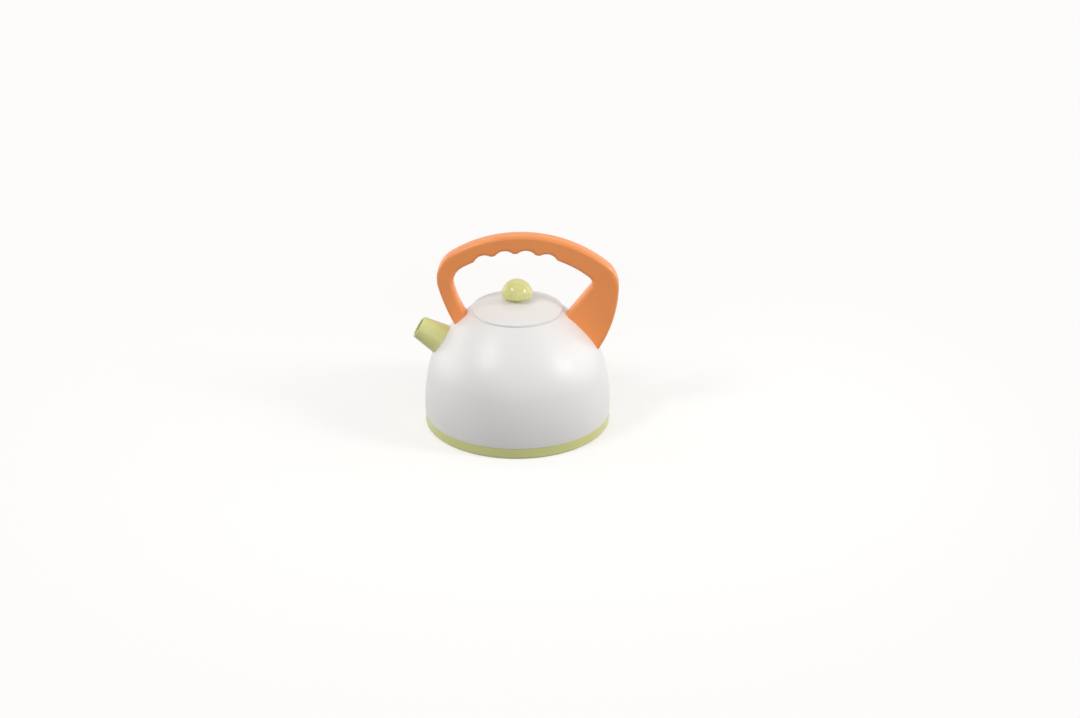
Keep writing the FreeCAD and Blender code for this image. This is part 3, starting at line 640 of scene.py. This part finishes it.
@dataclass(frozen=True)
class Spout:
    """Green hollow cone that is cut to the dome, with a collar that enters the body. Its lower
    edge is broken by edge_break: along the cone, out of it, and straight towards its axis."""

    fits: Fits
    slope: float = math.radians(31.0)
    reach: float = 78.5
    tip_height: float = 79.0
    tip_radius: float = 8.9
    flare: float = math.radians(10.0)
    wall: float = 1.8
    tip_round: float = 0.7
    collar_radius: float = 10.4
    snap_step: float = 0.8
    snap_length: float = 3.0
    seat_gap: float = 0.1
    longest: float = 45.0
    ring_shares: tuple[float, ...] = (0.02, 0.1, 0.25, 0.4, 0.55, 0.7, 0.85, 0.95, 0.985)
    edge_break: Triple = (0.05, 0.02, 0.2)
    bore_shares: tuple[float, float, int] = (0.98, 0.03, 8)
    round_points: int = 6
    around: int = 144
    hole_around: int = 72

    def place(self, along: Array, out: Array | float, turn: Array) -> Array:
        """Places on the spout: so far in from its tip, so far out from its axis, turned so far
        about that axis from straight above it."""
        above = out * np.cos(turn)
        x = -self.reach + along * math.cos(self.slope) + above * math.sin(self.slope)
        y = out * np.sin(turn)
        z = self.tip_height - along * math.sin(self.slope) + above * math.cos(self.slope)
        return np.stack(np.broadcast_arrays(x, y, z), axis=-1)

    def seam(self, turn: Array, start: float, flare: float) -> Array:
        """How far in from the tip each line of a cone meets the body, by halving the range."""
        low, high = np.zeros_like(turn), np.full_like(turn, self.longest)
        for _ in range(HALVINGS):
            middle = (low + high) / 2
            point = self.place(middle, start + middle * math.tan(flare), turn)
            radius = np.hypot(point[..., 0], point[..., 1])
            outside = self.fits.outside(radius, point[..., 2]) > self.seat_gap
            low, high = np.where(outside, middle, low), np.where(outside, high, middle)
        return (low + high) / 2

    def snap_at(self) -> float:
        """How far in from the tip the collar's snap is: one wall inside the straight line from
        the shoulder to the rim, along the spout."""
        fits = self.fits
        shoulder = fits.side_radius(fits.shoulder_height)
        fall = (fits.rim_height - fits.shoulder_height) / (shoulder - fits.rim_radius)
        drop = self.tip_height - fits.shoulder_height + (self.reach - shoulder) * fall
        seat = drop / (fall * math.cos(self.slope) + math.sin(self.slope))
        return seat + fits.wall + self.snap_step

    def stations(self, turn: Array) -> list[tuple[Array, Array]]:
        """Distance from the tip and from the axis for each ring of the closed wall."""
        level = np.ones_like(turn)
        seam = self.seam(turn, self.tip_radius, self.flare)
        root = self.seam(turn, self.collar_radius, 0.0)
        snap, end = self.snap_at(), self.snap_at() + self.snap_length
        bore_tip = self.tip_radius - self.wall
        bore_end = self.collar_radius - self.snap_step - self.wall / 2
        bend = np.radians(np.linspace(0, 90, self.round_points))
        edge = self.tip_round
        sines, cosines = edge * (1 - np.sin(bend)), edge * (1 - np.cos(bend))
        tip = [*zip(sines, bore_tip + cosines), *zip(cosines, self.tip_radius - sines)]
        rings = [(along * level, out * level) for along, out in tip]
        for share in self.ring_shares:
            along = edge * level + (seam - edge * level) * share
            rings.append((along, self.tip_radius + along * math.tan(self.flare)))
        wide = self.tip_radius + seam * math.tan(self.flare)
        back, off, inwards = self.edge_break
        rings += [(seam - back, wide - off), (seam, wide - inwards)]
        rings.append((root + back, self.collar_radius * level))
        inside = [
            (snap, self.collar_radius),
            (snap, self.collar_radius + self.snap_step),
            (end, self.collar_radius - self.snap_step),
            (end, bore_end),
        ]
        for share in np.linspace(*self.bore_shares):
            inside.append((end * share, bore_tip + (bore_end - bore_tip) * share))
        return rings + [(along * level, out * level) for along, out in inside]

    def build(self) -> Object:
        """Carry the rings round the spout's axis."""
        turn = np.linspace(0, 2 * math.pi, self.around, endpoint=False)
        rings = self.stations(turn)
        points = np.concatenate([self.place(along, out, turn) for along, out in rings])
        return add_mesh("spout_cone", points, grid_faces(len(rings), self.around, True))

    def hole(self) -> Shape:
        """Closed round bar that cuts the collar's hole in the body."""
        turn = np.linspace(0, 2 * math.pi, self.hole_around, endpoint=False)
        start = self.snap_at() - self.fits.wall - self.collar_radius
        ends = (start, self.snap_at() + self.snap_length)
        radius = self.collar_radius + self.seat_gap
        return bar([self.place(np.full_like(turn, along), radius, turn) for along in ends])


@dataclass(frozen=True)
class Tongue:
    """Tongue below a foot of the handle, which enters a slot in the body. Its side is 1 on +X
    and -1 on -X, and the slot's cutter goes slot_below and slot_above past its ends."""

    side: float
    near: float
    width: float
    low: float
    high: float
    thickness: float = 7.0
    gap: float = 0.1
    slot_below: float = 5.0
    slot_above: float = 8.0

    def outline(self, gap: float, low: float, high: float) -> Array:
        """The tongue's outline, wider by a gap on each side."""
        near = self.side * (self.near - gap)
        far = self.side * (self.near + self.width + gap)
        return np.array([[near, low], [far, low], [far, high], [near, high]])

    def solid(self) -> Shape:
        """The tongue itself."""
        return plate(self.outline(0.0, self.low, self.high), self.thickness)

    def slot(self) -> Shape:
        """The bar that cuts its slot."""
        outline = self.outline(self.gap, self.low - self.slot_below, self.high + self.slot_above)
        return plate(outline, self.thickness + 2 * self.gap)


@dataclass(frozen=True)
class Handle:
    """Orange handle: an arch of even thickness with soft edges and four finger grooves. The
    strip's and the side's shares say where the points of its section are."""

    fits: Fits
    thickness: float = 12.0
    edge_round: float = 3.0
    left_end: Corner = Corner(-42.2, 70.0, -162.0)
    arch_left: Corner = Corner(-65.8, 131.9, -105.0, 26.0)
    arch_right: Corner = Corner(79.6, 127.5, -105.0, 24.5)
    right_end: Corner = Corner(60.3, 56.0)
    left_inner_end: Corner = Corner(-30.6, 80.0, -78.0)
    grip_left: Corner = Corner(-51.2, 125.4, -88.6, 15.0)
    grip_right: Corner = Corner(61.1, 120.6, soft=6.0)
    right_inner_lean: float = math.radians(37.8)
    groove_radius: float = 9.0
    groove_depth: float = 2.9
    groove_count: int = 4
    groove_pitch: float = 11.3
    groove_middle: float = -1.95
    ridge_round: float = 3.6
    foot_depth: float = 1.0
    section_counts: tuple[int, int, int] = (70, 270, 80)
    strip_shares: tuple[float, ...] = (-0.9, -0.3, -0.04, 0.04, 0.3, 0.9)
    side_shares: tuple[float, ...] = (0.03, 0.35, 0.65, 0.97)
    round_points: int = 9
    tongues: tuple[Tongue, ...] = (
        Tongue(-1.0, 42.6, 5.6, 79.0, 92.0),
        Tongue(1.0, 48.8, 9.0, 67.0, 84.0),
    )

    def outer_path(self) -> Array:
        """Outer outline from the left foot over the top to the right foot."""
        corners = [self.left_end, self.arch_left, self.arch_right, self.right_end]
        return trace(corners, False, FINE_TURN, FINE_STEP)

    def grip_centre(self) -> Array:
        """Centre of the grip's lower curve."""
        first = np.array([self.grip_left.x, self.grip_left.z])
        last = np.array([self.grip_right.x, self.grip_right.z])
        return Edge(first, last, self.grip_left.curve).centre()

    def on_grip(self, angle: float) -> Array:
        """The place on the grip's lower curve at an angle clockwise from straight up."""
        turn = math.radians(angle)
        way = np.array([math.sin(turn), math.cos(turn)])
        return self.grip_centre() - self.grip_left.curve * way

    def inner_path(self) -> Array:
        """Inner outline from the left foot along the grooved grip to the right foot.

        A groove's circle has its centre on the orbit of radius curve + depth - radius, and
        meets the grip's curve where the law of cosines puts it.
        """
        grip, groove = -self.grip_left.curve, self.groove_radius
        orbit = grip + self.groove_depth - groove
        share = (grip**2 + orbit**2 - groove**2) / (2 * grip * orbit)
        reach = math.degrees(math.acos(share))
        corners = [self.left_inner_end, self.grip_left]
        first = self.groove_middle - (self.groove_count - 1) / 2 * self.groove_pitch
        for number in range(self.groove_count):
            middle = first + number * self.groove_pitch
            start, end = self.on_grip(middle - reach), self.on_grip(middle + reach)
            corners.append(Corner(*start, -groove, self.ridge_round))
            corners.append(Corner(*end, -grip, self.ridge_round))
        end_height = self.fits.rim_height - 3 * self.fits.wall
        fall = self.grip_right.z - end_height
        end_across = self.grip_right.x - fall * math.tan(self.right_inner_lean)
        corners += [self.grip_right, Corner(end_across, end_height)]
        return trace(corners, False, FINE_TURN, FINE_STEP)

    def to_feet(self, path: Array) -> Array:
        """The part of a path above the places where it is the foot's depth inside the dome."""
        depth = self.fits.outside(np.abs(path[:, 0]), path[:, 1]) + self.foot_depth
        first, last = np.flatnonzero(depth > 0)[[0, -1]]
        ends = []
        for index in (first - 1, last):
            share = depth[index] / (depth[index] - depth[index + 1])
            ends.append(path[index] + (path[index + 1] - path[index]) * share)
        return np.concatenate([ends[:1], path[first : last + 1], ends[1:]])

    @staticmethod
    def resample(
        path: Array, marks: Sequence[float], counts: Sequence[int]
    ) -> tuple[Array, Array]:
        """Points and inward directions at even steps between marks along a path.

        Args:
            path: dense (x, z) rows.
            marks: distances along the path, from nought to its length.
            counts: number of steps between each two marks.

        Returns:
            The points, and unit vectors to the right of the way travelled.
        """
        length = along_path(path)
        runs = [np.linspace(a, b, n, endpoint=False) for a, b, n in zip(marks, marks[1:], counts)]
        wanted = np.concatenate([*runs, [marks[-1]]])
        tangent = np.gradient(path, length, axis=0)
        points = np.column_stack([np.interp(wanted, length, path[:, k]) for k in (0, 1)])
        ways = np.column_stack([np.interp(wanted, length, tangent[:, k]) for k in (0, 1)])
        ways /= np.hypot(ways[:, 0], ways[:, 1])[:, None]
        return points, np.column_stack([ways[:, 1], -ways[:, 0]])

    @staticmethod
    def marks(path: Array, *corners: Corner) -> list[float]:
        """Distances along a path: its start, its points nearest to the corners, and its end."""
        length = along_path(path)
        nearest = [np.argmin(np.hypot(path[:, 0] - c.x, path[:, 1] - c.z)) for c in corners]
        return [0.0, *(float(length[index]) for index in nearest), float(length[-1])]

    def cross_section(self) -> tuple[Array, Array, Array]:
        """One turn round the handle's section.

        Returns:
            For each point the share of the way from the outer to the inner outline, how far it
            lies inside its outline, and its place across the thickness.
        """
        flat = self.thickness / 2 - self.edge_round
        bend = np.radians(np.linspace(0, 90, self.round_points))
        inset, across = self.edge_round * (1 - np.cos(bend)), flat + self.edge_round * np.sin(bend)
        strip, shares = flat * np.array(self.strip_shares), np.array(self.side_shares)
        level, bent = np.zeros_like(strip), np.zeros_like(bend)
        share = [level, bent, shares, bent + 1, level + 1, bent + 1, 1 - shares, bent]
        into = [level, inset, np.full_like(shares, self.edge_round), inset[::-1]] * 2
        side = np.full_like(shares, self.thickness / 2)
        place = [strip, across, side, across[::-1], -strip, -across, -side, -across[::-1]]
        return np.concatenate(share), np.concatenate(into), np.concatenate(place)

    def build(self) -> Object:
        """Carry the section along the arch, between the two outlines, and add the tongues.

        With P and Q the outer and inner points and n and m their directions into the plastic, a
        point at share s and inset i is (1 - s)(P + i n) + s(Q + i m), which keeps each rounded
        edge a true quarter circle square to its outline.
        """
        outer, inner = self.to_feet(self.outer_path()), self.to_feet(self.inner_path())
        outer_marks = self.marks(outer, self.arch_left, self.arch_right)
        inner_marks = self.marks(inner, self.grip_left, self.grip_right)
        out_points, out_ways = self.resample(outer, outer_marks, self.section_counts)
        in_points, in_ways = self.resample(inner, inner_marks, self.section_counts)
        share, into, across = (column[:, None] for column in self.cross_section())
        flat = [
            (1 - share) * (out_points[:, k] + into * out_ways[:, k])
            + share * (in_points[:, k] - into * in_ways[:, k])
            for k in (0, 1)
        ]
        points = np.stack(np.broadcast_arrays(flat[0], across, flat[1]), axis=-1)
        solids = [bar(list(points.transpose(1, 0, 2)))]
        solids += [tongue.solid() for tongue in self.tongues]
        return add_mesh("handle_arch", *joined(solids))


@dataclass(frozen=True)
class Shell:
    """White domed body, open at the foot and the mouth."""

    fits: Fits
    spout: Spout
    handle: Handle
    rim_round: float = 0.6
    lip_round: float = 0.4
    around: int = 288

    def profile(self) -> Array:
        """Closed outline of the wall: up the outside, over the rim and down the inside, which
        is the outside moved in by the wall."""
        fits = self.fits
        foot, top, wall = fits.base_height, fits.rim_height, fits.wall
        across, up = fits.dome_centre()
        ceiling = top - wall
        inner_rim = across + math.sqrt((fits.dome_curve - wall) ** 2 - (ceiling - up) ** 2)
        inner_run = math.sqrt((fits.belly_curve - wall) ** 2 - (foot - fits.belly_height) ** 2)
        low, high = fits.shoulder_ends(0.0)
        inner_low, inner_high = fits.shoulder_ends(wall)
        corners = [
            Corner(fits.side_radius(foot), foot, fits.belly_curve, self.lip_round),
            Corner(*low, fits.shoulder_curve),
            Corner(*high, fits.dome_curve),
            Corner(fits.rim_radius, top, soft=self.rim_round),
            Corner(fits.mouth_radius, top, soft=self.lip_round),
            Corner(fits.mouth_radius, ceiling, soft=self.lip_round),
            Corner(inner_rim, ceiling, -(fits.dome_curve - wall)),
            Corner(*inner_high, -(fits.shoulder_curve - wall)),
            Corner(*inner_low, -(fits.belly_curve - wall)),
            Corner(fits.belly_radius - fits.belly_curve + inner_run, foot, soft=self.lip_round),
        ]
        return trace(corners, True, turn=5.0, step=2.2)

    def build(self) -> Object:
        """Turn the wall and cut the spout's hole and the two slots in it."""
        piece = lathe("domed_shell", self.profile(), True, self.around)
        bars = [self.spout.hole()] + [tongue.slot() for tongue in self.handle.tongues]
        cut_away(piece, add_mesh("shell_cutter", *joined(bars)))
        return piece


@dataclass(frozen=True)
class Base:
    """Green ring and floor with a skirt that snaps into the body."""

    fits: Fits
    radius: float = 74.2
    floor: float = 2.4
    lower_round: float = 1.8
    upper_round: float = 0.35
    recess_depth: float = 1.4
    recess_radius: float = 63.0
    recess_round: float = 0.6
    foot_round: float = 0.4
    skirt_height: float = 8.0
    skirt_wall: float = 2.0
    skirt_round: float = 0.5
    floor_round: float = 1.2
    bead_height: float = 0.5
    bead_width: float = 2.4
    bead_level: float = 4.0
    bead_round: float = 0.2
    around: int = 288

    def build(self) -> Object:
        """Turn the outline from the middle of the underside to the middle of the floor."""
        fits = self.fits
        skirt = fits.belly_radius - fits.wall - fits.skirt_gap
        inner = skirt - self.skirt_wall
        middle = fits.base_height + self.bead_level
        top = fits.base_height + self.skirt_height
        floor = self.recess_depth + self.floor
        outline = [
            Corner(0.0, self.recess_depth),
            Corner(self.recess_radius, self.recess_depth, soft=self.recess_round),
            Corner(self.recess_radius + self.recess_depth, 0.0, soft=self.foot_round),
            Corner(self.radius, 0.0, soft=self.lower_round),
            Corner(self.radius, fits.base_height, soft=self.upper_round),
            Corner(skirt, fits.base_height),
            Corner(skirt, middle - self.bead_width / 2),
            Corner(skirt + self.bead_height, middle, soft=self.bead_round),
            Corner(skirt, middle + self.bead_width / 2),
            Corner(skirt, top, soft=self.skirt_round),
            Corner(inner, top, soft=self.skirt_round),
            Corner(inner, floor, soft=self.floor_round),
            Corner(0.0, floor),
        ]
        return lathe("base_ring", trace(outline, False, turn=10.0), False, self.around)


@dataclass(frozen=True)
class Lid:
    """White push-fit lid with its plug and the hole for the knob's post."""

    fits: Fits
    radius: float = 36.0
    edge: float = 2.0
    rise: float = 9.0
    curve: float = 85.0
    wall: float = 2.2
    edge_round: float = 0.9
    lower_round: float = 0.25
    fine_round: float = 0.2
    boss_radius: float = 7.0
    boss_round: float = 1.5
    plug_gap: float = 0.3
    plug_wall: float = 1.8
    plug_depth: float = 9.0
    plug_round: float = 0.5
    around: int = 192

    def build(self) -> Object:
        """Turn the lid's closed outline."""
        base = self.fits.rim_height
        plug = self.fits.mouth_radius - self.plug_gap
        inner = plug - self.plug_wall
        hole = self.fits.post_radius + self.fits.post_gap
        fall = (self.rise - self.edge) / (self.radius - self.boss_radius)
        under = self.edge + fall * (self.radius - inner) - self.wall
        outline = [
            Corner(hole, base + self.rise - self.wall),
            Corner(self.boss_radius, base + self.rise - self.wall, -self.curve),
            Corner(inner, base + under, soft=self.plug_round),
            Corner(inner, base - self.plug_depth, soft=self.plug_round),
            Corner(plug, base - self.plug_depth, soft=self.plug_round),
            Corner(plug, base, soft=self.fine_round),
            Corner(self.radius, base, soft=self.lower_round),
            Corner(self.radius, base + self.edge, self.curve, self.edge_round),
            Corner(self.boss_radius, base + self.rise, soft=self.boss_round),
            Corner(hole, base + self.rise, soft=self.fine_round),
        ]
        return lathe("lid_cap", trace(outline, True, turn=8.0, step=2.0), True, self.around)


@dataclass(frozen=True)
class Knob:
    """Green ball knob with a stem and a post that snaps through the lid."""

    fits: Fits
    seat: float
    lid_wall: float
    radius: float = 12.25
    skirt: float = 1.0
    lower_round: float = 0.8
    stem_radius: float = 5.0
    stem_height: float = 3.4
    stem_round: float = 0.8
    snap_step: float = 0.8
    snap_length: float = 3.0
    snap_round: float = 0.4
    fine_round: float = 0.2
    around: int = 128

    def build(self) -> Object:
        """Turn the outline from the post's end to the top of the ball."""
        post = self.fits.post_radius
        below = self.seat - self.lid_wall - self.fits.post_gap
        lower = self.seat + self.stem_height
        middle = lower + self.skirt
        outline = [
            Corner(0.0, below - self.snap_length),
            Corner(post - self.snap_step, below - self.snap_length, soft=self.snap_round),
            Corner(post + self.snap_step, below, soft=self.fine_round),
            Corner(post, below),
            Corner(post, self.seat),
            Corner(self.stem_radius, self.seat, soft=self.fine_round),
            Corner(self.stem_radius, lower, soft=self.stem_round),
            Corner(self.radius, lower, soft=self.lower_round),
            Corner(self.radius, middle, self.radius),
            Corner(0.0, middle + self.radius),
        ]
        profile = trace(outline, False, turn=4.0, step=1.5)
        return lathe("knob_ball", profile, False, self.around)


@dataclass(frozen=True)
class Kettle:
    """The whole kettle: its pieces and their finishes."""

    fits: Fits = Fits()
    finishes: Finishes = Finishes()

    def build(self) -> None:
        """Build and dress each piece over its node."""
        white = self.finishes.white.build()
        green = self.finishes.green.build()
        orange = self.finishes.orange.build()
        spout, handle, lid = Spout(self.fits), Handle(self.fits), Lid(self.fits)
        shell = Shell(self.fits, spout, handle)
        knob = Knob(self.fits, self.fits.rim_height + lid.rise, lid.wall)
        base = Base(self.fits)
        dress(shell.build(), white, BodyName.KETTLE, Slot.WHITE, "body")
        dress(base.build(), green, BodyName.KETTLE, Slot.GREEN, "base")
        dress(spout.build(), green, BodyName.KETTLE, Slot.GREEN, "spout")
        dress(handle.build(), orange, BodyName.KETTLE, Slot.ORANGE, "handle")
        dress(lid.build(), white, BodyName.LID, Slot.WHITE, "lid")
        dress(knob.build(), green, BodyName.LID, Slot.GREEN, "lid_knob")


# The studio


def direction(azimuth: float, elevation: float) -> Vector:
    """Unit vector from the kettle. Azimuth 0 points to -Y and turns towards +X, in degrees."""
    turn, rise = math.radians(azimuth), math.radians(elevation)
    flat = math.cos(rise)
    return Vector((math.sin(turn) * flat, -math.cos(turn) * flat, math.sin(rise)))


def set_up(item: Object, aim: Vector, way: Vector, distance: float, unit: float = 1.0) -> None:
    """Put a lamp or a camera in the scene, so far from the aim, and turn it to the aim."""
    item.location = aim + way * distance * unit
    item.rotation_euler = way.to_track_quat("Z", "Y").to_euler()
    bpy.context.scene.collection.objects.link(item)


@dataclass(frozen=True)
class SoftBox:
    """One soft lamp, aimed at the kettle. Angles are degrees, lengths metres, power watts."""

    name: str
    azimuth: float
    elevation: float
    distance: float
    width: float
    height: float
    power: float

    def build(self, aim: Vector) -> None:
        """Place the lamp at its distance and turn it to the aim."""
        light = bpy.data.lights.new(self.name, "AREA")
        light.shape = "RECTANGLE"
        light.size, light.size_y = self.width, self.height
        light.energy = self.power
        lamp = bpy.data.objects.new(self.name, light)
        set_up(lamp, aim, direction(self.azimuth, self.elevation), self.distance)


@dataclass(frozen=True)
class Studio:
    """Pale floor, soft lamps and a plain light all round. The floor's shade takes the shadow,
    its lift is light added to it, it fades into the backdrop over the fade, in metres, and its
    bounce shade lights the kettle."""

    aim_height: float = 60.0
    lamps: tuple[SoftBox, ...] = (
        SoftBox("left_box", -53.0, 48.0, 1.1, 0.28, 0.28, 3.3),
        SoftBox("right_box", 75.0, 29.0, 1.1, 0.22, 0.28, 4.0),
        SoftBox("front_box", 2.0, 16.0, 1.3, 1.2, 0.6, 2.4),
        SoftBox("back_box", 200.0, 60.0, 1.3, 0.9, 0.6, 1.2),
        SoftBox("left_panel", -105.0, 8.0, 1.3, 1.2, 0.9, 6.6),
        SoftBox("right_panel", 105.0, 6.0, 1.3, 1.2, 0.9, 7.2),
    )
    backdrop: str = "#fdfcfb"
    floor_shade: str = "#b8b6b3"
    floor_lift: float = 0.55
    fade: Span = (0.12, 0.45)
    bounce_shade: str = "#5f5e5c"
    ambient: float = 0.42
    floor_reach: float = 6.0

    @staticmethod
    def seen(tree: Tree) -> Socket:
        """1 for the rays that show the backdrop: the camera's, reflected and refracted ones."""
        rays = add_node(tree, "LightPath").outputs
        shown = combined(tree, "MAXIMUM", rays["Is Camera Ray"], rays["Is Glossy Ray"])
        return combined(tree, "MAXIMUM", shown, rays["Is Transmission Ray"])

    def build_world(self) -> None:
        """White where it is seen, and a plain soft light elsewhere."""
        world = bpy.data.worlds.new("studio")
        bpy.context.scene.world = world
        tree = blank_tree(world)
        white = lit(tree, "Background", self.backdrop, 1.0)
        soft = lit(tree, "Background", "#ffffff", self.ambient)
        mixed = blend(tree, self.seen(tree), soft, white)
        add_node(tree, "OutputWorld", {}, {"Surface": mixed})

    def floor_material(self) -> bpy.types.Material:
        """Matt pale floor that looks white away from the kettle and keeps its soft shadow."""
        material = bpy.data.materials.new("matt_floor_paint")
        tree = blank_tree(material)
        shade, bounce = (
            add_node(tree, "BsdfDiffuse", {}, {"Color": linear(colour)}).outputs[0]
            for colour in (self.floor_shade, self.bounce_shade)
        )
        lift = lit(tree, "Emission", self.backdrop, self.floor_lift)
        lifted = add_node(tree, "AddShader", {}, {0: shade, 1: lift}).outputs[0]
        plain = lit(tree, "Emission", self.backdrop, 1.0)
        place = add_node(tree, "TexCoord").outputs["Object"]
        away = add_node(tree, "VectorMath", {"operation": "LENGTH"}, {0: place})
        far = spread(tree, away.outputs["Value"], self.fade, (0.0, 1.0), "SMOOTHSTEP")
        shown = blend(tree, self.seen(tree), bounce, blend(tree, far, lifted, plain))
        add_node(tree, "OutputMaterial", {}, {"Surface": shown})
        return material

    def build(self) -> None:
        """Build the floor, the world and the lamps."""
        reach = self.floor_reach
        mesh = bpy.data.meshes.new("floor")
        square = [(-reach, -reach, 0), (reach, -reach, 0), (reach, reach, 0), (-reach, reach, 0)]
        mesh.from_pydata(square, [], [(0, 1, 2, 3)])
        mesh.materials.append(self.floor_material())
        floor = bpy.data.objects.new("floor", mesh)
        bpy.context.scene.collection.objects.link(floor)
        self.build_world()
        aim = Vector((0.0, 0.0, self.aim_height * MM))
        for lamp in self.lamps:
            lamp.build(aim)
        bpy.context.scene.view_settings.view_transform = "Standard"


@dataclass(frozen=True)
class Viewpoint:
    """The photograph's camera: its place round the kettle, its distance and its lens. Angles
    are degrees and lengths millimetres, but focal and frame_width are in pixels and
    clip_range is in metres."""

    azimuth: float = 2.0
    elevation: float = 24.8
    distance: float = 1500.0
    aim_right: float = 18.1
    aim_height: float = 51.6
    focal: float = 1875.0
    frame_width: float = 1080.0
    sensor: float = 36.0
    clip_range: Span = (0.05, 50.0)

    def build(self) -> None:
        """Make the camera. The lens is the focal length in pixels times sensor over frame."""
        data = bpy.data.cameras.new("camera")
        data.sensor_width = self.sensor
        data.lens = self.focal * self.sensor / self.frame_width
        data.clip_start, data.clip_end = self.clip_range
        camera = bpy.data.objects.new("camera", data)
        turn = math.radians(self.azimuth)
        right = Vector((math.cos(turn), math.sin(turn), 0.0))
        aim = right * self.aim_right * MM + Vector((0.0, 0.0, self.aim_height * MM))
        set_up(camera, aim, direction(self.azimuth, self.elevation), self.distance, MM)
        bpy.context.scene.camera = camera


def main() -> None:
    """Build the kettle over its frame, then the studio and the camera."""
    logging.basicConfig(level=logging.INFO, format="%(message)s")
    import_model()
    Kettle().build()
    Studio().build()
    Viewpoint().build()


if __name__ == "__main__":
    main()
